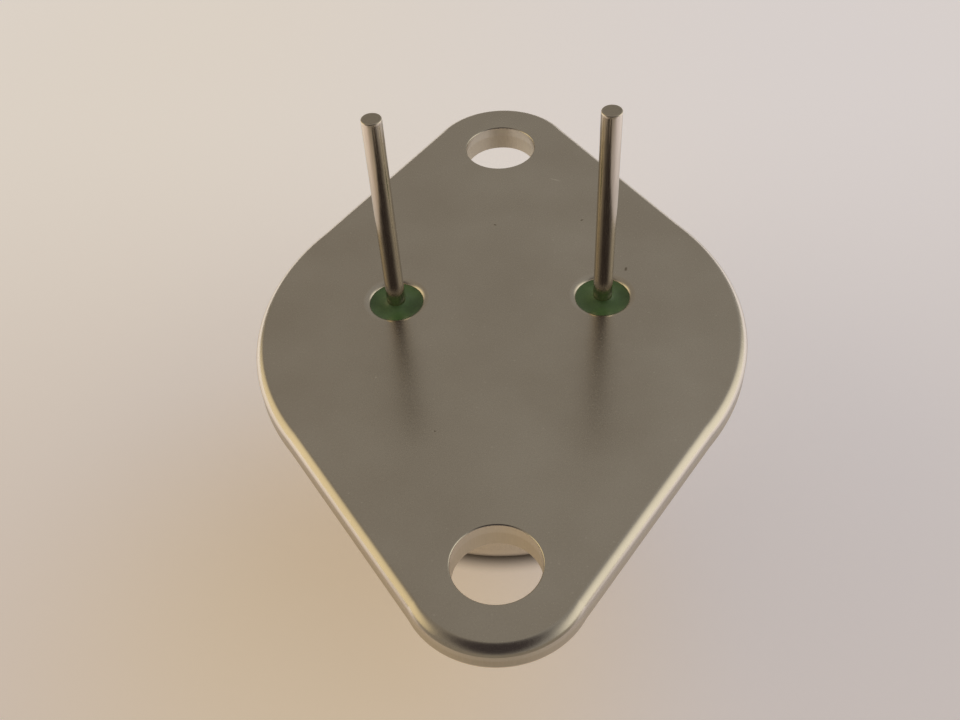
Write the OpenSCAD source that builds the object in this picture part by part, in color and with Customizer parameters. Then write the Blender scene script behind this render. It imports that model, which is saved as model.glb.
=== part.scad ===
// Voltage regulator in a two-lead power can.
// A blanked steel header carries two glass-sealed leads and a welded drawn cap.
// The part stands on the crown of its cap, with its mounting face up, its long axis along Y
// and its leads along +Z. The origin is the centre of the crown, on the surface it stands on.

/* [Header] */
// Diameter of the header's round middle, which is also its width
header_d = 25.4; // [22:0.1:27]
// Distance between the two mounting holes
hole_spacing = 30.15; // [28:0.05:33]
// Radius of each rounded ear, about its mounting hole
ear_r = 4.325; // [3.6:0.025:5.2]
// Distance of each straight flank inside the line that touches the middle and the ear
flank_inset = 0.02; // [0.01:0.005:0.1]
// Thickness of the header
header_t = 1.45; // [1.2:0.05:3]
// Diameter of each mounting hole
hole_d = 4.1; // [3.2:0.05:4.6]
// Die roll round the outline of the mounting face
outline_roll = 0.55; // [0.1:0.05:0.7]
// Die roll at the mouth of each mounting hole
hole_roll = 0.06; // [0.04:0.01:0.3]
// Edge break left by tumbling on the inner face's outline
tumble_break = 0.2; // [0.05:0.01:0.3]

/* [Leads] */
// Distance between the two leads
lead_spacing = 10.92; // [10:0.02:11.6]
// Distance of the leads from the line midway between the mounting holes
lead_offset = 1.8; // [0.5:0.02:2.5]
// Diameter of the bare lead, as it is sealed
lead_d = 0.98; // [0.7:0.01:1.2]
// Nickel plated on the lead after sealing, where it stands free of the glass
lead_plating = 0.01; // [0.002:0.001:0.05]
// Length of each lead beyond the mounting face
lead_reach = 11.1; // [7.5:0.1:13]
// Rounding of the lead's outer end
lead_tip_r = 0.06; // [0.04:0.01:0.3]
// Height of the bonding head's flat above the header's inner face
lead_inner = 1.3; // [0.9:0.05:1.8]
// Diameter of the bonding head
lead_head_d = 1.8; // [1.5:0.05:2.2]
// Thickness of the bonding head
lead_head_t = 0.35; // [0.2:0.05:0.6]

/* [Glass seals] */
// Diameter of each seal's opening through the header
seal_d = 2.83; // [2.5:0.01:3.2]
// Rounding of the opening's mouth on the mounting face
seal_roll = 0.18; // [0.1:0.01:0.4]
// Rounding of the opening's mouth on the inner face
seal_break = 0.1; // [0.05:0.01:0.2]
// Depth of the glass below the mounting face, at the opening's wall
glass_depth = 0.2; // [0.15:0.01:0.4]
// Depth of the glass below the mounting face, where it has crept up the lead
glass_lead_depth = 0.03; // [0.01:0.01:0.1]
// Depth of the glass below the inner face, at the opening's wall
glass_inner_depth = 0.12; // [0.1:0.01:0.3]
// Dip of the glass between the lead and the opening's wall
meniscus_dip = 0.12; // [0.04:0.01:0.2]

/* [Cap] */
// Diameter of the cap's side wall
cap_d = 19.5; // [18.6:0.1:20.2]
// Height of the cap, from its crown to the header
cap_h = 6.9; // [5:0.05:9]
// Thickness of the drawn sheet
cap_t = 0.45; // [0.3:0.05:0.6]
// Outer radius between the crown and the side wall
crown_r = 1.5; // [0.8:0.1:2.2]
// Diameter of the flange
flange_d = 21.9; // [21.6:0.1:22.1]
// Radius between the side wall and the outer face of the flange
flange_bend_r = 0.35; // [0.2:0.05:0.5]
// Diameter of the weld ridge under the flange, along its middle
weld_d = 20.9; // [20.8:0.05:21]
// Width of the weld ridge
weld_w = 0.5; // [0.3:0.05:0.6]
// Clearance that the weld ridge leaves between the flange and the header
weld_gap = 0.08; // [0.04:0.01:0.15]

/* [Heat path] */
// Diameter of the copper heat spreader
spreader_d = 7.4; // [6.4:0.1:7.6]
// Thickness of the copper heat spreader
spreader_t = 0.8; // [0.5:0.05:1.2]
// Thickness of the braze between the spreader and the header
braze_t = 0.05; // [0.03:0.01:0.1]
// Width of the silicon die, across the leads
die_w = 2.6; // [2.2:0.1:3.2]
// Length of the silicon die
die_l = 2.3; // [2:0.1:2.8]
// Thickness of the silicon die
die_t = 0.3; // [0.2:0.02:0.4]
// Thickness of the solder under the die
solder_t = 0.05; // [0.03:0.01:0.1]
// Width of the solder fillet that shows round the die
solder_rim = 0.12; // [0.05:0.01:0.2]

/* [Bond wires] */
// Diameter of the aluminium bond wire
wire_d = 0.2; // [0.12:0.01:0.25]
// Height of a wire's loop above its higher foot
loop_h = 0.75; // [0.5:0.05:1.2]
// Side of a square bond pad
pad_w = 0.44; // [0.34:0.02:0.5]
// Thickness of a bond pad
pad_t = 0.02; // [0.01:0.005:0.04]
// Distance of a bond pad's edge from the die's edge
pad_inset = 0.14; // [0.08:0.01:0.2]
// Distance between the two wires that share the output lead's head
wire_pitch = 0.7; // [0.55:0.01:0.9]

/* [Hidden] */
$fn = 96;

// How far a cutter runs past the face it opens
past = 1;

// Heights above the crown
inner_z = cap_h;
face_z = inner_z + header_t;

// The line that touches the middle circle and an ear circle: its slope, and its length
// between the places where it touches
header_r = header_d / 2;
hole_y = hole_spacing / 2;
flank_angle = asin((header_r - ear_r) / hole_y);
flank_l = hole_y * cos(flank_angle);

// Leads and seals, at their own place on the header
lead_x = lead_spacing / 2;
lead_r = lead_d / 2;
free_r = lead_r + lead_plating;
seal_r = seal_d / 2;

// Depths inside the can, measured from the header's inner face towards the crown
spreader_top = braze_t + spreader_t;
die_base = spreader_top + solder_t;
pad_top = die_base + die_t + pad_t;

// Places of the bond pads on the die
pad_x = die_w / 2 - pad_inset - pad_w / 2;
pad_y = die_l / 2 - pad_inset - pad_w / 2;

// A bonded foot is pressed flat and wide, and rises to the round wire over its heel
foot_h = 0.5 * wire_d;
foot_w = 1.45 * wire_d;
foot_l = 2 * wire_d;
heel_l = 1.5 * wire_d;
wire_rings = 26;
wire_sides = 12;

// Puts a part that is drawn from the header's inner face upwards inside the can
module inside_can() {
  translate([0, 0, inner_z]) mirror([0, 0, 1]) children();
}

// ---- Header ----

// A corner's waste outside a quarter round: the rim is at x = rim_r, and the face at y = 0
module outer_waste(rim_r, r) {
  difference() {
    translate([rim_r - r, -r]) square(r + past);
    translate([rim_r - r, -r]) circle(r);
  }
}

// The same for the mouth of a hole of radius hole_r, whose material lies outside it
module mouth_waste(hole_r, r) {
  difference() {
    translate([0, -r]) square([hole_r + r, r + past]);
    translate([hole_r + r, -r]) circle(r);
  }
}

// Half the header's section, out to a rim at x = rim_r: the die roll above, and below it the
// edge that tumbling has broken
module rim_section(rim_r) {
  wall = header_t - outline_roll - tumble_break;
  square([rim_r - outline_roll, header_t]);
  square([rim_r - tumble_break, header_t - outline_roll]);
  translate([0, tumble_break]) square([rim_r, wall]);
  translate([rim_r - outline_roll, header_t - outline_roll]) circle(outline_roll);
  translate([rim_r - tumble_break, tumble_break]) circle(tumble_break);
}

// The blank: a round middle and two round ears, joined by four straight flanks
module header_blank() {
  rotate_extrude() rim_section(header_r);
  for (turn = [0, 180]) rotate(turn) {
    translate([0, hole_y, 0]) rotate_extrude() rim_section(ear_r);
    for (side = [0, 1]) rotate((2 * side - 1) * flank_angle)
      translate([0, side * flank_l, 0]) rotate([90, 0, 0])
        linear_extrude(flank_l) rim_section(header_r - flank_inset);
  }
}

module at_leads() {
  for (side = [-1, 1]) translate([side * lead_x, lead_offset, 0]) children();
}

module base_plate() {
  color("#a39a88") difference() {
    translate([0, 0, inner_z]) header_blank();
    for (side = [-1, 1]) translate([0, side * hole_y, 0]) {
      translate([0, 0, inner_z - past]) cylinder(h = header_t + 2 * past, d = hole_d);
      translate([0, 0, face_z]) rotate_extrude() mouth_waste(hole_d / 2, hole_roll);
    }
    at_leads() {
      translate([0, 0, inner_z - past]) cylinder(h = header_t + 2 * past, d = seal_d);
      translate([0, 0, face_z]) rotate_extrude() mouth_waste(seal_r, seal_roll);
      translate([0, 0, inner_z]) mirror([0, 0, 1])
        rotate_extrude() mouth_waste(seal_r, seal_break);
    }
  }
}

// ---- Leads and their seals ----

// The space over a meniscus: a round whose edge passes through the points a and b, and dips
// by meniscus_dip below the line between them. The point a is the one nearer to the lead.
module meniscus(a, b) {
  chord = norm(b - a);
  arc_r = (chord * chord / 4 + meniscus_dip * meniscus_dip) / (2 * meniscus_dip);
  up = [a[1] - b[1], b[0] - a[0]] / chord;
  translate((a + b) / 2 + up * (arc_r - meniscus_dip)) circle(arc_r);
}

// Half the section of a glass bead, from the lead to the wall of its opening. Each face is
// the arc that a meniscus makes between two walls.
module bead_section() {
  at_lead = [lead_r, header_t - glass_lead_depth];
  at_wall = [seal_r, header_t - glass_depth];
  inner_lead = [lead_r, glass_inner_depth];
  inner_wall = [seal_r, glass_inner_depth];
  difference() {
    polygon([inner_lead, inner_wall, at_wall, at_lead]);
    meniscus(at_lead, at_wall);
    mirror([0, 1]) meniscus([lead_r, -glass_inner_depth], [seal_r, -glass_inner_depth]);
  }
}

module glass_seal(side) {
  color("#3c5a2c") translate([side * lead_x, lead_offset, inner_z])
    rotate_extrude() bead_section();
}

// Half the section of a lead's plated free length, from the glass to the tip
module free_section() {
  free_from = header_t - glass_lead_depth;
  tip = header_t + lead_reach;
  difference() {
    translate([0, free_from]) square([free_r, tip - free_from]);
    translate([0, tip]) outer_waste(free_r, lead_tip_r);
  }
}

// Half the section of the bare length in the glass, and of the flattened head that takes
// the bond wires
module sealed_section() {
  free_from = header_t - glass_lead_depth;
  head_from = -lead_inner;
  translate([0, head_from]) square([lead_r, free_from - head_from]);
  translate([0, head_from]) {
    square([lead_head_d / 2 - lead_head_t / 2, lead_head_t]);
    translate([lead_head_d / 2 - lead_head_t / 2, lead_head_t / 2]) circle(lead_head_t / 2);
  }
}

module lead(side) {
  color("#b9ad93") translate([side * lead_x, lead_offset, inner_z]) {
    rotate_extrude() free_section();
    rotate_extrude() sealed_section();
  }
}

module input_pin() { lead(-1); }
module output_pin() { lead(1); }
module input_seal() { glass_seal(-1); }
module output_seal() { glass_seal(1); }

// ---- Cap ----

// A cup's half section with its floor at y = 0 and its corner rounded to radius r
module cup_section(radius, h, r) {
  translate([0, r]) square([radius, h - r]);
  square([radius - r, h]);
  translate([radius - r, r]) circle(r);
}

module cap_section() {
  wall_r = cap_d / 2;
  flange_z = cap_h - weld_gap;
  difference() {
    union() {
      cup_section(wall_r, flange_z, crown_r);
      translate([0, flange_z - cap_t]) square([flange_d / 2, cap_t]);
      // The bend from the side wall out into the flange
      difference() {
        translate([wall_r - cap_t / 2, flange_z - cap_t - flange_bend_r])
          square([cap_t / 2 + flange_bend_r, flange_bend_r]);
        translate([wall_r + flange_bend_r, flange_z - cap_t - flange_bend_r])
          circle(flange_bend_r);
      }
      // The projection that the weld has sunk into the header
      translate([(weld_d - weld_w) / 2, flange_z]) square([weld_w, weld_gap]);
    }
    translate([0, cap_t]) cup_section(wall_r - cap_t, cap_h, crown_r - cap_t);
    translate([-past, -past]) square([past, cap_h + 2 * past]);
    // The inside of the same bend
    translate([0, flange_z]) mouth_waste(wall_r - cap_t, cap_t + flange_bend_r);
  }
}

module cap() {
  color("#b3aa97") rotate_extrude() cap_section();
}

// ---- Heat path ----

module heat_spreader() {
  color("#b36b45") inside_can() translate([0, 0, braze_t]) cylinder(h = spreader_t, d = spreader_d);
}

module spreader_braze() {
  color("#c9bfa6") inside_can() cylinder(h = braze_t, d = spreader_d);
}

module die_solder() {
  color("#8f9196") inside_can()
    translate([-die_w / 2 - solder_rim, -die_l / 2 - solder_rim, spreader_top])
      cube([die_w + 2 * solder_rim, die_l + 2 * solder_rim, solder_t]);
}

// Bond pads: input, ground, output and output sense
pad_places = [[-pad_x, pad_y], [0, -pad_y], [pad_x, pad_y], [pad_x, pad_y - wire_pitch]];

module die() {
  color("#55585f") inside_can() {
    translate([-die_w / 2, -die_l / 2, die_base]) cube([die_w, die_l, die_t]);
    for (place = pad_places)
      translate([place[0] - pad_w / 2, place[1] - pad_w / 2, die_base + die_t])
        cube([pad_w, pad_w, pad_t]);
  }
}

// ---- Bond wires ----

// 0 on the foot, 1 on the round wire, smooth between them: d is the distance from the end
function rise(d) =
  let (u = min(max((d - foot_l) / heel_l, 0), 1)) u * u * (3 - 2 * u);

// Centre, half width and half height of the wire at share u of the way between its feet
function wire_place(a, b, u) =
  let (
    run = norm([b[0] - a[0], b[1] - a[1]]),
    ends = (foot_l + heel_l / 2) / run,
    v = min(max((u - ends) / (1 - 2 * ends), 0), 1),
    round_share = min(rise(u * run), rise((1 - u) * run)),
    half_h = (foot_h + (wire_d - foot_h) * round_share) / 2,
    half_w = (foot_w + (wire_d - foot_w) * round_share) / 2,
    lift = loop_h * pow(4 * v * (1 - v), 0.8),
    z = a[2] + (b[2] - a[2]) * v * v * (3 - 2 * v) + half_h + lift
  )
  [a[0] + (b[0] - a[0]) * u, a[1] + (b[1] - a[1]) * u, z, half_w, half_h];

// Sweeps the wire from foot a to foot b, which are the middles of the feet's outer ends
module bond_wire(a, b) {
  heading = atan2(b[1] - a[1], b[0] - a[0]);
  shares = [for (i = [0 : wire_rings]) (1 - cos(180 * i / wire_rings)) / 2];
  places = [for (u = shares) wire_place(a, b, u)];
  points = [
    for (i = [0 : wire_rings])
      let (
        here = places[i],
        back = places[max(i - 1, 0)],
        on = places[min(i + 1, wire_rings)],
        run = norm([on[0] - back[0], on[1] - back[1]]),
        tilt = (i == 0 || i == wire_rings) ? 0 : atan2(on[2] - on[4] - back[2] + back[4], run)
      )
      for (k = [0 : wire_sides - 1])
        let (
          turn = 360 * (k + 0.5) / wire_sides,
          across = here[3] * cos(turn) / cos(180 / wire_sides),
          up = here[4] * sin(turn) / cos(180 / wire_sides),
          along = -up * sin(tilt)
        )
        [
          here[0] + along * cos(heading) - across * sin(heading),
          here[1] + along * sin(heading) + across * cos(heading),
          here[2] + up * cos(tilt)
        ]
  ];
  last = wire_rings * wire_sides;
  faces = concat(
    [[for (k = [0 : wire_sides - 1]) k]],
    [
      for (i = [0 : wire_rings - 1], k = [0 : wire_sides - 1])
        let (p = i * wire_sides + k, q = i * wire_sides + (k + 1) % wire_sides)
        [p, p + wire_sides, q + wire_sides, q]
    ],
    [[for (k = [wire_sides - 1 : -1 : 0]) last + k]]
  );
  color("#c9ccd0") inside_can() polyhedron(points, faces);
}

// A foot on pad number n, whose wire leaves towards the point at
function on_pad(n) = [pad_places[n][0], pad_places[n][1], pad_top];

// The end of a foot that is centred on middle, for a wire that leaves towards the point at
function foot_end(middle, at) =
  let (way = [at[0] - middle[0], at[1] - middle[1]])
  [middle[0] - way[0] / norm(way) * foot_l / 2, middle[1] - way[1] / norm(way) * foot_l / 2, middle[2]];

module wire_between(a, b) {
  bond_wire(foot_end(a, b), foot_end(b, a));
}

module input_wire() { wire_between(on_pad(0), [-lead_x, lead_offset, lead_inner]); }
module output_wire() {
  wire_between(on_pad(2), [lead_x, lead_offset + wire_pitch / 2, lead_inner]);
}
module sense_wire() {
  wire_between(on_pad(3), [lead_x, lead_offset - wire_pitch / 2, lead_inner]);
}
module ground_wire() {
  wire_between(on_pad(1), [0, -(die_l / 2 + spreader_d / 2) / 2, spreader_top]);
}

base_plate();
cap();
input_pin();
output_pin();
input_seal();
output_seal();
heat_spreader();
spreader_braze();
die_solder();
die();
input_wire();
output_wire();
sense_wire();
ground_wire();
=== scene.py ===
import math

import bmesh
import bpy
import numpy as np
from mathutils import Matrix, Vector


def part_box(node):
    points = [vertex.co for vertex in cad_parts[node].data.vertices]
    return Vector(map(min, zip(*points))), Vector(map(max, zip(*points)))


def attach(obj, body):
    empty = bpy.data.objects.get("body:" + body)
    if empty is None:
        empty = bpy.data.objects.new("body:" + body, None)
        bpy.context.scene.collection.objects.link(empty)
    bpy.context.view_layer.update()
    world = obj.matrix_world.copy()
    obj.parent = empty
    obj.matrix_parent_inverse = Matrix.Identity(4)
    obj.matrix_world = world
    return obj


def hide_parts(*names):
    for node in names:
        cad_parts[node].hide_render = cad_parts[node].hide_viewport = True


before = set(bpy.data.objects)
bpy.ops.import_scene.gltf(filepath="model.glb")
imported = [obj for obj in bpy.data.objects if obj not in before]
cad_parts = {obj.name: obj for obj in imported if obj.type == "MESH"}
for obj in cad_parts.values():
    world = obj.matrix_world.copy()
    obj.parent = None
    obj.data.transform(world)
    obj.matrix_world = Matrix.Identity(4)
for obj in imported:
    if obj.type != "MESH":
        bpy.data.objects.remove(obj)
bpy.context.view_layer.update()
print("frame loaded,", len(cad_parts), "nodes")

mm = 0.001
joinReach = 1e-4 * mm    # points nearer to each other than this become one


# The lowest and highest place of a node along z, in millimetres.
def heightsOf(node):
    low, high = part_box(node)
    return low.z / mm, high.z / mm


# Joins grids of points into one closed mesh. A grid is rows x columns x 5: the place in
# millimetres, the edge wear and the shear mark. Each cell is a face, and the columns run once
# round. Points that meet become one, which also closes the seams and the poles.
def meshFromGrids(name, grids, sharpAngle=38):
    points, faces, start = [], [], 0
    for grid in grids:
        rows, columns = grid.shape[:2]
        index = start + np.arange(rows * columns).reshape(rows, columns)
        index = np.hstack([index, index[:, :1]])
        corners = index[:-1, :-1], index[:-1, 1:], index[1:, 1:], index[1:, :-1]
        faces.append(np.stack(corners, -1).reshape(-1, 4))
        points.append(grid.reshape(-1, 5))
        start += rows * columns
    points, faces = np.concatenate(points), np.concatenate(faces)
    mesh = bpy.data.meshes.new(name)
    mesh.from_pydata((points[:, :3] * mm).tolist(), [], faces.tolist())
    for column, mask in ((3, "wear"), (4, "shear")):
        values = points[:, column].astype(np.float32)
        mesh.attributes.new(mask, "FLOAT", "POINT").data.foreach_set("value", values)
    joined = bmesh.new()
    joined.from_mesh(mesh)
    bmesh.ops.remove_doubles(joined, verts=joined.verts, dist=joinReach)
    joined.to_mesh(mesh)
    joined.free()
    mesh.polygons.foreach_set("use_smooth", np.ones(len(mesh.polygons), bool))
    mesh.set_sharp_from_angle(angle=math.radians(sharpAngle))
    piece = bpy.data.objects.new(name, mesh)
    bpy.context.scene.collection.objects.link(piece)
    return piece


# Points on an arc: the centre plus the radius times the cosine and sine of an angle that runs
# from start to end, in degrees.
def arc(across, up, radius, start, end, steps):
    turn = np.radians(np.linspace(start, end, steps + 1))
    return np.stack([across + radius * np.cos(turn), up + radius * np.sin(turn)], 1)


# The die roll from a wall up to the face: a quarter of an ellipse, whose cosine and sine are
# raised to a power that flattens its middle.
def dieRoll(wall, face, width, depth, power, steps):
    turn = np.radians(np.linspace(0, 90, steps + 1))
    return np.stack([wall + width * (1 - np.cos(turn) ** power),
                     face - depth * (1 - np.sin(turn) ** power)], 1)


# Puts stretches of a section end to end. Each is its points, its edge wear and its shear mark,
# where a mark is one number or runs evenly between two.
def sectionOf(*stretches):
    rows = []
    for points, *marks in stretches:
        points = np.reshape(points, (-1, 2)).astype(float)
        ends = [mark if isinstance(mark, tuple) else (mark, mark) for mark in marks]
        rows.append(np.column_stack([points] + [np.linspace(a, b, len(points)) for a, b in ends]))
    return np.concatenate(rows)


# Carries a section of (radius, height, marks) once round an upright axis through (x, y).
def revolve(section, x=0.0, y=0.0, steps=128):
    turn = np.linspace(0, 2 * np.pi, steps, endpoint=False)
    radius, height, wear, shear = (section[:, k][:, None] for k in range(4))
    level = np.zeros(steps)
    return np.stack([x + radius * np.cos(turn), y + radius * np.sin(turn),
                     height + level, wear + level, shear + level], -1)


# Header: a blanked plate with two screw holes and two openings for the glass
plateLow, plateHigh = heightsOf("base_plate")
header = {
    "radius": 12.7, "earRadius": 4.325, "holeY": 15.075, "flankInset": 0.02,
    "low": plateLow, "high": plateHigh,
    "roll": 0.49, "rollDepth": 0.49, "rollPower": 1.35,     # rounding of the upper edge
    "tumbleBreak": 0.2,                                     # rounding of the lower edge
    "screwHole": {"radius": 2.05, "roll": 0.06, "rollDepth": 0.06, "lowerBreak": 0},
    "sealOpening": {"radius": 1.415, "roll": 0.32, "rollDepth": 0.18, "lowerBreak": 0.1},
    "leadX": 5.46, "leadY": 1.8,
    "burnish": 0.35,       # share of a sheared wall, from the top, that the punch has polished
    "burnishFade": 0.05,   # height over which the polish fades
    "rollWear": 0.5, "breakWear": 0.6,
    "strip": 0.03,         # flat strip beside a rounding, which keeps the shading to itself
    "cornerTurn": 0.0025,  # radians between a corner of the outline and the point beside it
    "cornerShare": 0.003,  # the same along a flank, as a share of its length
    "middleSteps": 44, "flankSteps": 41, "earSteps": 34,
    "borderAt": 14,        # point of a flank where the parts of the face meet
    "borderSteps": 26, "spineSteps": 60,
}


# The outline as places and outward ways, anticlockwise from the right: the round middle, a
# straight flank just inside the line that touches both rounds, the ear, and their mirror images.
# Returns also where a straight border crosses each flank.
def headerOutline(h):
    slope = math.asin((h["radius"] - h["earRadius"]) / h["holeY"])
    middleEnd = slope + math.acos(1 - h["flankInset"] / h["radius"])
    earStart = slope - math.acos(1 - h["flankInset"] / h["earRadius"])

    def around(y, radius, start, end, steps):
        turn = np.linspace(start, end, steps)[1:-1]
        turn = np.concatenate([[start, start + h["cornerTurn"]], turn, [end - h["cornerTurn"], end]])
        return np.stack([radius * np.cos(turn), y + radius * np.sin(turn),
                         np.cos(turn), np.sin(turn)], 1)

    middle = around(0, h["radius"], 0, middleEnd, h["middleSteps"])
    ear = around(h["holeY"], h["earRadius"], earStart, np.pi / 2, h["earSteps"])
    share = np.linspace(0, 1, h["flankSteps"])[1:-1]
    share = np.concatenate([[h["cornerShare"]], share, [1 - h["cornerShare"]]])[:, None]
    flank = np.full((len(share), 4), [0, 0, math.cos(slope), math.sin(slope)])
    flank[:, :2] = middle[-1, :2] * (1 - share) + ear[0, :2] * share
    for corner, angle in ((middle[-1], middleEnd), (ear[0], earStart)):
        corner[2:] = math.cos((slope + angle) / 2), math.sin((slope + angle) / 2)
    quarter = np.concatenate([middle, flank, ear])
    half = np.concatenate([quarter, quarter[-2::-1] * [-1, 1, -1, 1]])
    outline = np.concatenate([half, half[-2:0:-1] * [1, -1, 1, -1]])
    border, last = len(middle) + h["borderAt"], len(half) - 1
    return outline, (border, last - border, last + border, 2 * last - border)


# The borders of a face's four parts, each a closed ring of places round one opening: the far ear,
# the left of the middle, the near ear and the right of the middle. Parts share their points.
def facePlan(outline, crossings, inset, h):
    edge = outline[:, :2] - inset * outline[:, 2:]
    farRight, farLeft, nearLeft, nearRight = crossings

    def line(start, end, steps=h["borderSteps"]):
        share = np.linspace(0, 1, steps + 1)[:-1, None]
        return start * (1 - share) + end * share

    farMiddle = (edge[farRight] + edge[farLeft]) / 2
    nearMiddle = (edge[nearLeft] + edge[nearRight]) / 2
    farEar = [edge[farRight:farLeft],
              line(edge[farLeft], farMiddle), line(farMiddle, edge[farRight])]
    nearEar = [edge[nearLeft:nearRight],
               line(edge[nearRight], nearMiddle), line(nearMiddle, edge[nearLeft])]
    left = [edge[farLeft:nearLeft], line(edge[nearLeft], nearMiddle),
            line(nearMiddle, farMiddle, h["spineSteps"]), line(farMiddle, edge[farLeft])]
    right = [edge[nearRight:], edge[:farRight], line(edge[farRight], farMiddle),
             line(farMiddle, nearMiddle, h["spineSteps"]), line(nearMiddle, edge[nearRight])]
    return [np.concatenate(part) for part in (farEar, left, nearEar, right)]


# The section of a wall that a punch has sheared: torn below, and half polished above.
def shearedWall(across, low, high, h):
    polished = high - h["burnish"] * (high - low)
    torn = polished - h["burnishFade"]
    return ([[across, low], [across, torn]], 0, 1), ([[across, polished], [across, high]], 0, 0.5)


# Places with one height and one pair of marks.
def levelled(places, height, wear=0.0, shear=0.0):
    return np.column_stack([places, np.full((len(places), 3), [height, wear, shear])])


# One part of the header: its under side, the wall of its opening and its mounting face. Each row
# is a ring: the opening's centre plus a radius times the ways from there to the border's points.
def openingPart(h, opening, centre, below, above):
    wall, roll, depth = opening["radius"], opening["roll"], opening["rollDepth"]
    lower, strip, low, high = opening["lowerBreak"], h["strip"], h["low"], h["high"]
    lowerEdge = arc(wall + lower, low + lower, lower, 270, 180, steps=5) if lower else [wall, low]
    section = sectionOf(
        ([wall + lower + strip, low], 0, 0),
        (lowerEdge, h["rollWear"], 0),
        *shearedWall(wall, low + lower + strip, high - depth - strip, h),
        (dieRoll(wall, high, roll, depth, h["rollPower"], steps=9), h["rollWear"], 0),
        ([wall + roll + strip, high], 0, 0))
    rings = []
    for radius, height, wear, shear in section:
        share = (height - low) / (high - low)
        way = (below - centre) * (1 - share) + (above - centre) * share
        way /= np.linalg.norm(way, axis=1)[:, None]
        rings.append(levelled(centre + radius * way, height, wear, shear))
    # the columns run the other way round, so that the faces point outwards
    return np.stack([levelled(below, low), *rings, levelled(above, high)])[:, ::-1]


def makeHeader(h):
    outline, crossings = headerOutline(h)
    low, high, lower, strip = h["low"], h["high"], h["tumbleBreak"], h["strip"]
    roll, depth = h["roll"], h["rollDepth"]
    # the rim's section, as distances inside the outline
    section = sectionOf(
        ([lower + strip, low], 0, 0),
        (arc(lower, low + lower, lower, 270, 180, steps=6), h["breakWear"], 0),
        *shearedWall(0, low + lower + strip, high - depth - strip, h),
        (dieRoll(0, high, roll, depth, h["rollPower"], steps=18), (h["rollWear"], 0), 0),
        ([roll + strip, high], 0, 0))
    rows = [levelled(outline[:, :2] - inset * outline[:, 2:], *marks) for inset, *marks in section]
    below = facePlan(outline, crossings, lower + strip, h)
    above = facePlan(outline, crossings, roll + strip, h)
    openings = (("screwHole", 0, h["holeY"]), ("sealOpening", -h["leadX"], h["leadY"]),
                ("screwHole", 0, -h["holeY"]), ("sealOpening", h["leadX"], h["leadY"]))
    parts = [openingPart(h, h[name], np.array([x, y]), *borders)
             for (name, x, y), *borders in zip(openings, below, above)]
    return meshFromGrids("headerPlate", [np.stack(rows)] + parts)


headerPlate = makeHeader(header)
print("header made")

# Leads: wire with a flattened bonding head, thicker by its plating where it stands free
leadLow, leadHigh = heightsOf("input_pin")
lead = {
    "low": leadLow, "high": leadHigh,
    "bareRadius": 0.49, "freeRadius": 0.50, "tipRound": 0.06,
    "headRadius": 0.9, "headThick": 0.35,
    "glassDepth": 0.03,    # how far below the mounting face the glass has crept up to
    "footStrip": 0.4, "tipStrip": 0.1, "endStrip": 0.02,    # beside the roundings
}


# A lead's section, from the middle of its bonding head up to the middle of its tip.
def makeLead(name, x, p):
    low, high, tip, free = p["low"], p["high"], p["tipRound"], p["freeRadius"]
    half, glass = p["headThick"] / 2, header["high"] - p["glassDepth"]
    section = sectionOf(
        ([0, low], 0, 0),
        (arc(p["headRadius"] - half, low + half, half, 270, 450, steps=12), 0.5, 0),
        ([[p["bareRadius"], low + 2 * half], [p["bareRadius"], glass], [free, glass]], 0, 0),
        ([[free, glass + p["footStrip"]], [free, high - tip - p["tipStrip"]]], 0, 0),
        (arc(free - tip, high - tip, tip, 0, 90, steps=6), (0, 1), 0),
        ([[free - tip - p["endStrip"], high], [0, high]], 0, 1))
    return meshFromGrids(name, [revolve(section, x, header["leadY"], steps=96)])


# Seals: a bead of glass round each lead, drawn up at the lead and at the wall of its opening
seal = {
    "wallDepth": 0.2, "leadDepth": 0.03,    # below the mounting face
    "innerDepth": 0.12,                     # above the header's inner face
    "dip": 0.12,
}


# The hollow that a liquid makes between a and b: an arc of radius (half chord squared plus dip
# squared) over twice the dip, whose middle lies the dip to the right of the line from a to b.
def meniscus(a, b, dip, steps=16):
    a, b = np.array(a), np.array(b)
    chord = np.linalg.norm(b - a)
    radius = (chord ** 2 / 4 + dip ** 2) / (2 * dip)
    along, aside = (b - a) / chord, np.array([a[1] - b[1], b[0] - a[0]]) / chord
    turn = np.linspace(-1, 1, steps + 1)[:, None] * math.asin(chord / 2 / radius)
    centre = (a + b) / 2 + aside * (radius - dip)
    return centre + radius * (np.sin(turn) * along - np.cos(turn) * aside)


def makeSeal(name, x, p):
    leadRadius, wallRadius = lead["bareRadius"], header["sealOpening"]["radius"]
    inner = header["low"] + p["innerDepth"]
    under = meniscus([wallRadius, inner], [leadRadius, inner], p["dip"])
    over = meniscus([leadRadius, header["high"] - p["leadDepth"]],
                    [wallRadius, header["high"] - p["wallDepth"]], p["dip"])
    section = sectionOf((under[::-1], 0, 0), (over[::-1], 0, 0), (under[-1], 0, 0))
    return meshFromGrids(name, [revolve(section, x, header["leadY"], steps=96)], sharpAngle=50)


inputLead = makeLead("inputLead", -header["leadX"], lead)
outputLead = makeLead("outputLead", header["leadX"], lead)
inputGlass = makeSeal("inputGlass", -header["leadX"], seal)
outputGlass = makeSeal("outputGlass", header["leadX"], seal)
print("leads and seals made")

# Cap: a drawn cup with an outturned flange, which a ridge joins to the header
capLow, capHigh = heightsOf("cap")
cap = {
    "low": capLow, "high": capHigh,
    "wallRadius": 9.75, "sheet": 0.45, "cornerRound": 1.5,
    "flangeRadius": 10.95, "bend": 0.35,
    "weldRadius": 10.45, "weldWidth": 0.5, "weldRise": 0.08,
    "cornerWear": 0.4,
    "strip": 0.05, "wallStrip": 0.1, "flangeStrip": 0.02,   # beside the roundings
}


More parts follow.
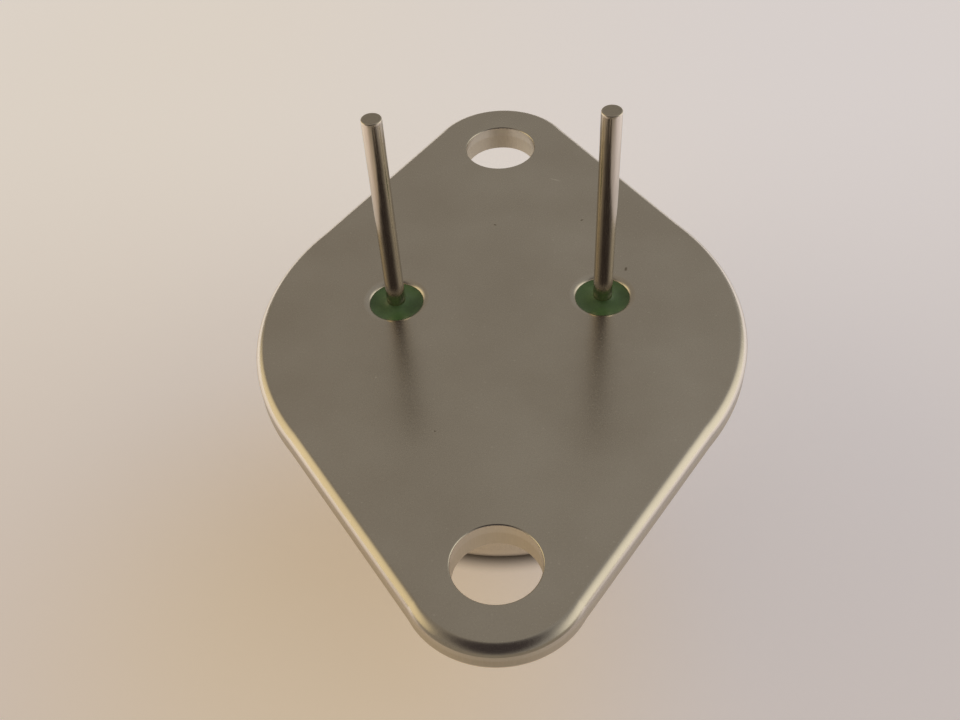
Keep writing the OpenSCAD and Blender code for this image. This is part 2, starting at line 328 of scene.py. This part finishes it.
# The cap's section once round: up the outside, over the flange and its ridge, and down the
# inside back to the axis.
def makeCap(p):
    wall, sheet, bend, corner = p["wallRadius"], p["sheet"], p["bend"], p["cornerRound"]
    low, top, wallStart = p["low"], p["high"] - p["weldRise"], p["low"] + corner + p["wallStrip"]
    ridgeIn, ridgeOut = p["weldRadius"] - p["weldWidth"] / 2, p["weldRadius"] + p["weldWidth"] / 2
    section = sectionOf(
        ([[0, low], [wall - corner - p["strip"], low]], 0, 0),
        (arc(wall - corner, low + corner, corner, 270, 360, steps=20), p["cornerWear"], 0),
        ([[wall, wallStart], [wall, top - sheet - bend - p["strip"]]], 0, 0),
        (arc(wall + bend, top - sheet - bend, bend, 180, 90, steps=8), 0, 0),
        ([wall + bend + p["flangeStrip"], top - sheet], 0, 0),
        ([[p["flangeRadius"], top - sheet], [p["flangeRadius"], top]], 0, 1),
        ([[ridgeOut, top], [ridgeOut, top + p["weldRise"]],
          [ridgeIn, top + p["weldRise"]], [ridgeIn, top]], 0, 0),
        (arc(wall + bend, top - sheet - bend, sheet + bend, 90, 180, steps=8), 0, 0),
        ([wall - sheet, wallStart], 0, 0),
        (arc(wall - corner, low + corner, corner - sheet, 0, -90, steps=12), 0, 0),
        ([0, low + sheet], 0, 0))
    return meshFromGrids("drawnCap", [revolve(section, steps=180)])


drawnCap = makeCap(cap)
print("cap made")


# Gives a socket another node's output or a plain value.
def feed(tree, socket, value):
    if isinstance(value, bpy.types.NodeSocket):
        tree.links.new(value, socket)
    else:
        socket.default_value = value


# Adds a node, sets it up, and then feeds its sockets.
def addNode(tree, kind, feeds=None, **settings):
    node = tree.nodes.new("ShaderNode" + kind)
    for key, value in settings.items():
        setattr(node, key, value)
    for key, value in (feeds or {}).items():
        feed(tree, node.inputs[key], value)
    return node


def calculate(tree, operation, first, second):
    return addNode(tree, "Math", {0: first, 1: second}, operation=operation).outputs[0]


# A mask or value carried evenly from one range to another.
def stretched(tree, value, low, high, toLow=0.0, toHigh=1.0, shape="LINEAR"):
    feeds = {"Value": value, "From Min": low, "From Max": high, "To Min": toLow, "To Max": toHigh}
    return addNode(tree, "MapRange", feeds, interpolation_type=shape).outputs[0]


# Tones are tuples of red, green and blue, or another node's output.
def mixTones(tree, amount, first, second, blend="MIX"):
    first, second = ((*tone, 1) if isinstance(tone, tuple) else tone for tone in (first, second))
    feeds = {0: amount, 6: first, 7: second}
    return addNode(tree, "Mix", feeds, data_type="RGBA", blend_type=blend).outputs[2]


def mixValues(tree, amount, first, second):
    return addNode(tree, "Mix", {0: amount, 2: first, 3: second}).outputs[0]


def newMaterial(name):
    material = bpy.data.materials.new(name)
    material.use_nodes = True
    return material, material.node_tree, material.node_tree.nodes["Principled BSDF"]


# A node group with float outputs; returns it with its inner input and output sockets.
def newGroup(name, inputs, outputs):
    tree = bpy.data.node_groups.new(name, "ShaderNodeTree")
    for label, kind, value in inputs:
        tree.interface.new_socket(label, in_out="INPUT", socket_type=kind).default_value = value
    for label in outputs:
        tree.interface.new_socket(label, in_out="OUTPUT", socket_type="NodeSocketFloat")
    return tree, tree.nodes.new("NodeGroupInput").outputs, tree.nodes.new("NodeGroupOutput").inputs


def placeGroup(tree, group, feeds):
    return addNode(tree, "Group", feeds, node_tree=group).outputs


def objectPlace(tree):
    return addNode(tree, "TexCoord").outputs["Object"]


# What the node groups share
pattern = {
    "spread": (0.3, 0.7),                  # where nearly all of a noise lies
    "speckle": (0.25, 0.75), "speckleDetail": 2, "cloudDetail": 4,
    "cellsPerGrain": 0.14,                 # one speck in each cell of seven grains
    "speck": (0.08, 0.03),                 # where a speck begins and where it is full
    "wearDetail": 3, "leastWear": 0.35,    # share of the wear that every place keeps
    "mark": (1.0, 0.4),                    # where a mark begins and where it is full
    "rimRough": 0.3, "rimGrainsPerMm": 9, "rimDetail": 2,
}


# Plated grain: a fine speckle, a cloud, pale specks and a height. Sizes are in millimetres, and
# Stretch turns the round grain into streaks.
def platedGrainGroup(p):
    tree, given, result = newGroup(
        "platedGrain",
        (("Grain Size", "NodeSocketFloat", 0.1), ("Cloud Size", "NodeSocketFloat", 4.0),
         ("Stretch", "NodeSocketVector", (1, 1, 1))),
        ("Speckle", "Cloud", "Specks", "Height"))
    place = addNode(tree, "VectorMath", {0: objectPlace(tree), 1: given["Stretch"]},
                    operation="MULTIPLY").outputs[0]

    def noise(size, detail):
        scale = calculate(tree, "DIVIDE", 1 / mm, given[size])
        return addNode(tree, "TexNoise", {"Vector": place, "Scale": scale, "Detail": detail}).outputs[0]

    fine, cloud = noise("Grain Size", p["speckleDetail"]), noise("Cloud Size", p["cloudDetail"])
    cellScale = calculate(tree, "DIVIDE", p["cellsPerGrain"] / mm, given["Grain Size"])
    cells = addNode(tree, "TexVoronoi", {"Vector": place, "Scale": cellScale})
    feed(tree, result["Speckle"], stretched(tree, fine, *p["speckle"]))
    feed(tree, result["Cloud"], cloud)
    feed(tree, result["Specks"], stretched(tree, cells.outputs["Distance"], *p["speck"]))
    feed(tree, result["Height"], fine)
    return tree


# Edge wear: the mesh's wear attribute, broken up by noise.
def edgeWearGroup(p):
    tree, given, result = newGroup("edgeWear", (("Breakup Size", "NodeSocketFloat", 0.5),), ("Mask",))
    wear = addNode(tree, "Attribute", attribute_name="wear").outputs["Fac"]
    scale = calculate(tree, "DIVIDE", 1 / mm, given["Breakup Size"])
    noise = addNode(tree, "TexNoise", {"Vector": objectPlace(tree), "Detail": p["wearDetail"],
                                       "Scale": scale}).outputs[0]
    broken = stretched(tree, noise, *p["spread"], p["leastWear"], 1.0)
    feed(tree, result["Mask"], calculate(tree, "MULTIPLY", wear, broken))
    return tree


# A small mark: an ellipse of the given half sizes about a centre, turned about z, with a rough rim.
def surfaceMarkGroup(p):
    tree, given, result = newGroup(
        "surfaceMark",
        (("Centre", "NodeSocketVector", (0, 0, 0)), ("Half Size", "NodeSocketVector", (1, 1, 1)),
         ("Turn", "NodeSocketFloat", 0.0)),
        ("Mask",))
    place = objectPlace(tree)
    noise = addNode(tree, "TexNoise", {"Vector": place, "Scale": p["rimGrainsPerMm"] / mm,
                                       "Detail": p["rimDetail"]}).outputs[0]
    away = addNode(tree, "VectorMath", {0: place, 1: given["Centre"]}, operation="SUBTRACT").outputs[0]
    turned = addNode(tree, "VectorRotate", {"Vector": away, "Angle": given["Turn"]},
                     rotation_type="Z_AXIS").outputs[0]
    scaled = addNode(tree, "VectorMath", {0: turned, 1: given["Half Size"]},
                     operation="DIVIDE").outputs[0]
    distance = addNode(tree, "VectorMath", {0: scaled}, operation="LENGTH").outputs["Value"]
    rough = stretched(tree, noise, *p["spread"], -p["rimRough"], p["rimRough"])
    mask = stretched(tree, calculate(tree, "ADD", distance, rough), *p["mark"])
    feed(tree, result["Mask"], mask)
    return tree


platedGrain, edgeWear = platedGrainGroup(pattern), edgeWearGroup(pattern)
surfaceMark = surfaceMarkGroup(pattern)

# Flaws on the mounting face: where, half sizes along and across, turn in degrees, and tone
paleFlaw, darkFlaw = (0.80, 0.76, 0.68), (0.26, 0.22, 0.17)
faceFlaws = (
    ((3.28, 11.70), (0.40, 0.05), 25, paleFlaw), ((2.97, 6.31), (0.07, 0.05), 0, paleFlaw),
    ((-6.1, -3.9), (0.06, 0.05), 0, paleFlaw), ((7.4, -1.6), (0.05, 0.05), 0, paleFlaw),
    ((-0.25, 7.75), (0.10, 0.06), 20, darkFlaw), ((4.64, 7.97), (0.12, 0.06), -15, darkFlaw),
    ((6.81, 3.75), (0.09, 0.16), 10, darkFlaw), ((-3.0, -7.5), (0.07, 0.05), 0, darkFlaw),
)

# What every plated piece shares. Lengths are in millimetres.
plating = {
    "specks": 0.45, "flawDepth": 0.2, "bumpDepth": 0.004,
    "streaks": {"Grain Size": 0.09, "Cloud Size": 1.5, "Stretch": (1, 1, 0.07)},
    "shearedRough": (0.38, 0.5),
}


# Nickel plating: clouded tone with a fine speckle, paler where edges have rubbed, and streaked
# and darker where the mesh is marked as sheared. Flaws are small marks on the mounting face.
def platedMetal(name, look, flaws=()):
    material, tree, shader = newMaterial(name)
    grain = placeGroup(tree, platedGrain, {"Grain Size": look["grainSize"],
                                           "Cloud Size": look["cloudSize"],
                                           "Stretch": look["stretch"]})
    streaks = placeGroup(tree, platedGrain, plating["streaks"])
    shear = addNode(tree, "Attribute", attribute_name="shear").outputs["Fac"]
    rubbed = placeGroup(tree, edgeWear, {"Breakup Size": look["breakup"]})["Mask"]

    tone = mixTones(tree, stretched(tree, grain["Cloud"], *pattern["spread"]), *look["tone"])
    speckled = mixTones(tree, grain["Speckle"], *((level,) * 3 for level in look["speckle"]))
    tone = mixTones(tree, 1.0, tone, speckled, "MULTIPLY")
    specks = calculate(tree, "MULTIPLY", grain["Specks"], plating["specks"])
    tone = mixTones(tree, specks, tone, paleFlaw)
    for (x, y), (along, across), turn, flawTone in flaws:
        mask = placeGroup(tree, surfaceMark, {
            "Centre": (x * mm, y * mm, header["high"] * mm), "Turn": math.radians(turn),
            "Half Size": (along * mm, across * mm, plating["flawDepth"] * mm)})["Mask"]
        tone = mixTones(tree, mask, tone, flawTone)
    tone = mixTones(tree, rubbed, tone, look["worn"])
    tone = mixTones(tree, shear, tone, mixTones(tree, streaks["Speckle"], *look["sheared"]))
    feed(tree, shader.inputs["Base Color"], tone)

    rough = stretched(tree, grain["Speckle"], 0, 1, *look["rough"])
    rough = mixValues(tree, rubbed, rough, look["wornRough"])
    streaked = stretched(tree, streaks["Speckle"], 0, 1, *plating["shearedRough"])
    feed(tree, shader.inputs["Roughness"], mixValues(tree, shear, rough, streaked))
    feed(tree, shader.inputs["Metallic"], 1)
    height = mixValues(tree, shear, grain["Height"], streaks["Height"])
    bump = addNode(tree, "Bump", {"Height": height, "Strength": look["bump"],
                                  "Distance": plating["bumpDepth"] * mm})
    feed(tree, shader.inputs["Normal"], bump.outputs[0])
    return material


headerNickel = platedMetal("headerNickel", {
    "grainSize": 0.11, "cloudSize": 5.0, "stretch": (1, 1, 1), "breakup": 0.6,
    "tone": ((0.575, 0.53, 0.46), (0.645, 0.605, 0.535)), "speckle": (0.96, 1.03),
    "worn": (0.66, 0.61, 0.53), "sheared": ((0.56, 0.51, 0.41), (0.64, 0.58, 0.48)),
    "rough": (0.22, 0.28), "wornRough": 0.19, "bump": 0.08}, faceFlaws)
leadNickel = platedMetal("leadNickel", {
    "grainSize": 0.06, "cloudSize": 2.0, "stretch": (1, 1, 0.06), "breakup": 0.3,
    "tone": ((0.58, 0.52, 0.44), (0.68, 0.62, 0.53)), "speckle": (0.88, 1.05),
    "worn": (0.66, 0.61, 0.52), "sheared": ((0.46, 0.42, 0.35), (0.58, 0.53, 0.45)),
    "rough": (0.14, 0.24), "wornRough": 0.25, "bump": 0.2})
capNickel = platedMetal("capNickel", {
    "grainSize": 0.09, "cloudSize": 4.0, "stretch": (1, 1, 0.25), "breakup": 0.6,
    "tone": ((0.57, 0.53, 0.46), (0.64, 0.60, 0.53)), "speckle": (0.96, 1.03),
    "worn": (0.66, 0.61, 0.53), "sheared": ((0.50, 0.45, 0.37), (0.58, 0.53, 0.44)),
    "rough": (0.20, 0.27), "wornRough": 0.2, "bump": 0.08})


# Sealing glass: a clouded deep green with a few fine bubbles under a smooth skin.
def sealingGlass(look):
    material, tree, shader = newMaterial("sealingGlass")
    place = objectPlace(tree)
    cloud = addNode(tree, "TexNoise", {"Vector": place, "Scale": 1 / mm / look["cloudSize"]}).outputs[0]
    bubbles = addNode(tree, "TexVoronoi", {"Vector": place, "Scale": 1 / mm / look["bubbleSize"]})
    tone = mixTones(tree, stretched(tree, cloud, *pattern["spread"]), *look["tone"])
    dots = stretched(tree, bubbles.outputs["Distance"], *look["bubbleRim"], 0, look["bubbleShare"])
    feed(tree, shader.inputs["Base Color"], mixTones(tree, dots, tone, look["bubble"]))
    rough = stretched(tree, cloud, *pattern["spread"], *look["rough"])
    feed(tree, shader.inputs["Roughness"], rough)
    feed(tree, shader.inputs["IOR"], look["ior"])
    bump = addNode(tree, "Bump", {"Height": cloud, "Strength": look["bump"],
                                  "Distance": look["bumpDepth"] * mm})
    feed(tree, shader.inputs["Normal"], bump.outputs[0])
    return material


glassGreen = sealingGlass({
    "tone": ((0.085, 0.170, 0.055), (0.145, 0.275, 0.105)), "bubble": (0.22, 0.36, 0.18),
    "cloudSize": 1.1, "bubbleSize": 0.16, "bubbleRim": (0.12, 0.06), "bubbleShare": 0.6,
    "rough": (0.18, 0.26), "ior": 1.52, "bump": 0.25, "bumpDepth": 0.02,
})


# A finish with a clouded tone, for what is sealed inside the cap. Its speckle is a quarter of
# the cloud's size.
def innerFinish(name, look):
    material, tree, shader = newMaterial(name)
    grain = placeGroup(tree, platedGrain, {"Grain Size": look["cloudSize"] / 4,
                                           "Cloud Size": look["cloudSize"]})
    tone = mixTones(tree, stretched(tree, grain["Cloud"], *pattern["spread"]), *look["tone"])
    feed(tree, shader.inputs["Base Color"], tone)
    feed(tree, shader.inputs["Roughness"], stretched(tree, grain["Speckle"], 0, 1, *look["rough"]))
    feed(tree, shader.inputs["Metallic"], look["metallic"])
    return material


innerLooks = {
    "spreaderCopper": {"tone": ((0.62, 0.33, 0.21), (0.76, 0.44, 0.29)),
                       "metallic": 1, "rough": (0.25, 0.4), "cloudSize": 1.2},
    "silverBraze": {"tone": ((0.62, 0.58, 0.48), (0.76, 0.72, 0.62)),
                    "metallic": 1, "rough": (0.3, 0.45), "cloudSize": 0.8},
    "softSolder": {"tone": ((0.36, 0.37, 0.39), (0.50, 0.51, 0.53)),
                   "metallic": 1, "rough": (0.4, 0.6), "cloudSize": 0.6},
    "siliconDie": {"tone": ((0.12, 0.13, 0.16), (0.20, 0.21, 0.25)),
                   "metallic": 0, "rough": (0.1, 0.25), "cloudSize": 0.5},
    "bondAluminium": {"tone": ((0.70, 0.71, 0.72), (0.84, 0.85, 0.86)),
                      "metallic": 1, "rough": (0.2, 0.35), "cloudSize": 0.5},
}
innerFinishes = {name: innerFinish(name, look) for name, look in innerLooks.items()}
innerNodes = {
    "heat_spreader": "spreaderCopper", "spreader_braze": "silverBraze",
    "die_solder": "softSolder", "die": "siliconDie",
    "input_wire": "bondAluminium", "output_wire": "bondAluminium",
    "sense_wire": "bondAluminium", "ground_wire": "bondAluminium",
}


def paint(piece, material):
    piece.data.materials.clear()
    piece.data.materials.append(material)


for piece, material, node, slot in (
        (headerPlate, headerNickel, "base_plate", "header_plating"),
        (drawnCap, capNickel, "cap", "cap_plating"),
        (inputLead, leadNickel, "input_pin", "lead_plating"),
        (outputLead, leadNickel, "output_pin", "lead_plating"),
        (inputGlass, glassGreen, "input_seal", "seal_glass"),
        (outputGlass, glassGreen, "output_seal", "seal_glass")):
    paint(piece, material)
    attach(piece, "root")
    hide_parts(node)
for node, finish in innerNodes.items():
    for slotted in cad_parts[node].material_slots:
        slotted.link = "OBJECT"
        slotted.material = innerFinishes[finish]
print("materials given")

# Studio: pale paper, and light by direction with a gold side, a pale side and a dark front.
# Places and reaches are in millimetres.
studio = {
    "floorHalf": 1500, "floorTone": (0.86, 0.82, 0.77), "floorRough": 0.9,
    "foot": (8.9, 10.2),                                 # radii where the cap's shade ends
    # painted shadow under the cap: the floor's darker colour there, and its glow there (none)
    "footShadowTone": (0.25, 0.21, 0.17), "footShadowGlow": (0.0, 0.0, 0.0),
    # the glow by the floor's four corners is painted light: brighter far, dimmer near, warmer left,
    # cooler right
    "glow": {"farLeft": (0.43, 0.395, 0.365), "farRight": (0.40, 0.385, 0.415),
             "nearLeft": (0.315, 0.26, 0.235), "nearRight": (0.285, 0.265, 0.29)},
    "glowAcross": (-30, 30), "glowAlong": (35, -25),     # from left to right, from far to near
    # a painted pool of gold light on the floor, left of the cap and before it
    "paintedGoldLight": (0.34, 0.26, 0.18), "goldAt": (-9, -14), "goldReach": (3, 22),
    "awayGlow": (0.45, 0.424, 0.42), "awayReach": (45, 110),
    # metal and glass see the glow end before the part, a painted shade in their reflections, and grow
    # at both sides, a painted light for their highlights: where, and how many times
    "glowEnd": (-20, -30), "glowSides": (20, 34), "glowGain": 2.2,
    "backdrop": (0.72, 0.66, 0.60),
    "left": (0.28, 0.245, 0.20), "right": (0.33, 0.31, 0.28), "sweep": (-0.5, 0.5),
    "patches": (
        {"azimuth": 95, "elevation": 5, "dots": (0.70, 1.0), "tone": (1.2, 1.13, 0.95)},
        {"azimuth": -98, "elevation": 8, "dots": (0.76, 0.98), "tone": (1.12, 0.92, 0.56)},
        {"azimuth": 0, "elevation": 42, "dots": (0.62, 0.93), "tone": (0.05, 0.04, 0.04)},
    ),
}


# The unit way towards an azimuth, from the front towards the right, and an elevation.
def wayTo(azimuth, elevation):
    a, e = math.radians(azimuth), math.radians(elevation)
    return np.array([math.sin(a) * math.cos(e), -math.cos(a) * math.cos(e), math.sin(e)])


# A soft mask: 0 until a distance reaches the first limit and 1 beyond the second, both in
# millimetres.
def beyond(tree, distance, reach):
    return stretched(tree, distance, reach[0] * mm, reach[1] * mm, shape="SMOOTHSTEP")


# The same mask for the distance from a place on the floor.
def awayFrom(tree, at, reach):
    distance = addNode(tree, "VectorMath", {0: objectPlace(tree), 1: (at[0] * mm, at[1] * mm, 0)},
                       operation="DISTANCE").outputs["Value"]
    return beyond(tree, distance, reach)


# The floor's glow, which is painted light: a tone between its four corners, a painted pool of gold
# light at one place, paler far away, and none under the cap, which is a painted shadow.
def glowTone(tree, place, clear, s):
    glow = s["glow"]
    rightness = beyond(tree, place["X"], s["glowAcross"])
    nearness = beyond(tree, place["Y"], s["glowAlong"])
    tone = mixTones(tree, nearness, mixTones(tree, rightness, glow["farLeft"], glow["farRight"]),
                    mixTones(tree, rightness, glow["nearLeft"], glow["nearRight"]))
    tone = mixTones(tree, awayFrom(tree, s["goldAt"], s["goldReach"]), s["paintedGoldLight"], tone)
    tone = mixTones(tree, awayFrom(tree, (0, 0), s["awayReach"]), tone, s["awayGlow"])
    # no glow under the cap: a painted shadow
    return mixTones(tree, clear, s["footShadowGlow"], tone)


# How strong the glow is: plain for the camera; for metal and glass it ends before the part and grows at
# both sides, which paints shade and light into their reflections; and nothing for any other surface, so
# that it lights none.
def glowStrength(tree, place, s):
    ray = addNode(tree, "LightPath").outputs
    start, end = s["glowEnd"]
    # behind is 1 beyond the painted shade that metal and glass see before the part
    behind = stretched(tree, place["Y"], start * mm, end * mm, 1, 0, "SMOOTHSTEP")
    inner, outer = s["glowSides"]
    # aside grows the glow that metal and glass see at both sides: a painted light for their highlights
    aside = calculate(tree, "ABSOLUTE", place["X"], 0.0)
    aside = stretched(tree, aside, inner * mm, outer * mm, 1, s["glowGain"], "SMOOTHSTEP")
    mirrored = calculate(tree, "MAXIMUM", ray["Is Glossy Ray"], ray["Is Transmission Ray"])
    mirrored = calculate(tree, "MULTIPLY", mirrored, calculate(tree, "MULTIPLY", behind, aside))
    return calculate(tree, "MAXIMUM", ray["Is Camera Ray"], mirrored)


def makeFloor(s):
    edge = s["floorHalf"] * mm
    mesh = bpy.data.meshes.new("floor")
    mesh.from_pydata([(-edge, -edge, 0), (edge, -edge, 0), (edge, edge, 0), (-edge, edge, 0)],
                     [], [(0, 1, 2, 3)])
    floor = bpy.data.objects.new("floor", mesh)
    bpy.context.scene.collection.objects.link(floor)
    material, tree, shader = newMaterial("floorPaper")
    place = addNode(tree, "SeparateXYZ", {0: objectPlace(tree)}).outputs
    # clear is 0 under the cap and 1 beyond it: under the cap the floor is painted darker and loses its
    # glow, a painted shadow
    clear = awayFrom(tree, (0, 0), s["foot"])
    feed(tree, shader.inputs["Base Color"], mixTones(tree, clear, s["footShadowTone"], s["floorTone"]))
    feed(tree, shader.inputs["Roughness"], s["floorRough"])
    feed(tree, shader.inputs["Emission Color"], glowTone(tree, place, clear, s))
    feed(tree, shader.inputs["Emission Strength"], glowStrength(tree, place, s))
    paint(floor, material)


# The world's tone by direction: a dim tone that runs from left to right, and over it each patch
# where the dot product with its way lies in its range. The camera sees a plain backdrop.
def makeWorld(s):
    world = bpy.data.worlds.new("studioLight")
    world.use_nodes = True
    bpy.context.scene.world = world
    tree = world.node_tree
    way = addNode(tree, "TexCoord").outputs["Generated"]
    x = addNode(tree, "SeparateXYZ", {0: way}).outputs["X"]
    tone = mixTones(tree, stretched(tree, x, *s["sweep"]), s["left"], s["right"])
    for patch in s["patches"]:
        centre = wayTo(patch["azimuth"], patch["elevation"])
        dot = addNode(tree, "VectorMath", {0: way, 1: tuple(centre)}, operation="DOT_PRODUCT")
        mask = stretched(tree, dot.outputs["Value"], *patch["dots"], shape="SMOOTHSTEP")
        tone = mixTones(tree, mask, tone, patch["tone"])
    seen = addNode(tree, "LightPath").outputs["Is Camera Ray"]
    tone = mixTones(tree, seen, tone, s["backdrop"])
    feed(tree, tree.nodes["Background"].inputs["Color"], tone)


# The camera stands before the near ear and looks down on the mounting face. It looks along the
# way from aim to its place, and roll turns it about that line.
camera = {
    "azimuth": 5.488, "elevation": 49.975, "roll": -5.12,
    "aim": (-1.613, -8.384, 8.35), "distance": 52.145,
    "lens": 41.493, "sensor": 36, "shift": (0.01755, 0.08855), "clip": (1, 10000),
}


def makeCamera(c):
    back = wayTo(c["azimuth"], c["elevation"])
    level = wayTo(c["azimuth"] + 90, 0)
    upright = np.cross(back, level)
    roll = math.radians(c["roll"])
    across = level * math.cos(roll) + upright * math.sin(roll)
    lens = bpy.data.cameras.new("camera")
    lens.sensor_width, lens.lens = c["sensor"], c["lens"]
    lens.shift_x, lens.shift_y = c["shift"]
    lens.clip_start, lens.clip_end = (reach * mm for reach in c["clip"])
    holder = bpy.data.objects.new("camera", lens)
    bpy.context.scene.collection.objects.link(holder)
    turn = np.eye(4)
    turn[:3, :3] = np.stack([across, np.cross(back, across), back], 1)
    turn[:3, 3] = (np.array(c["aim"]) + back * c["distance"]) * mm
    holder.matrix_world = Matrix(turn.tolist())
    bpy.context.scene.camera = holder


makeFloor(studio)
makeWorld(studio)
makeCamera(camera)
bpy.context.scene.view_settings.view_transform = "Standard"
print("floor, light and camera made")
